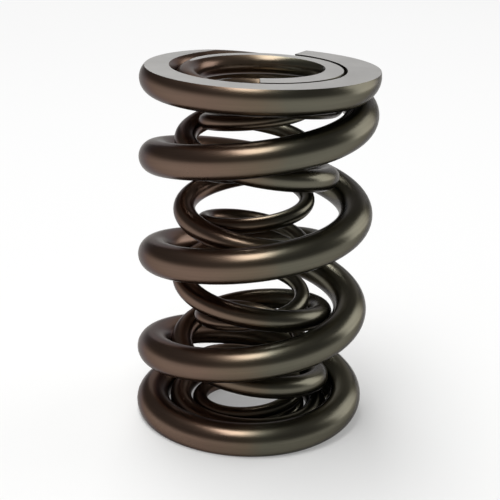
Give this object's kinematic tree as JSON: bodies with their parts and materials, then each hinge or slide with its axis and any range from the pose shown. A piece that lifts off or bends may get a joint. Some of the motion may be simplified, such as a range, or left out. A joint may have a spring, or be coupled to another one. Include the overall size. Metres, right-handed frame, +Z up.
{
  "type": "engine valve spring",
  "caption": "Nested round-wire compression springs on one axis, neighbours wound opposite ways, ends closed and ground flat.",
  "frame": {"origin": "on the springs' common axis, in the plane of the lower ground faces", "axes": "+Z up the axis from the seat end to the retainer end; front of the picture is -Y"},
  "size_m": [0.0394, 0.0394, 0.0609],
  "materials": {
    "outer_spring": "satin dark bronze-grey spring steel, ground ends bare",
    "middle_spring": "satin dark bronze-grey spring steel, ground ends bare",
    "inner_spring": "satin dark bronze-grey spring steel, ground ends bare"
  },
  "bodies": {
    "root": {"outer_spring": "outer_spring", "middle_spring": "middle_spring", "inner_spring": "inner_spring"}
  },
  "joints": []
}
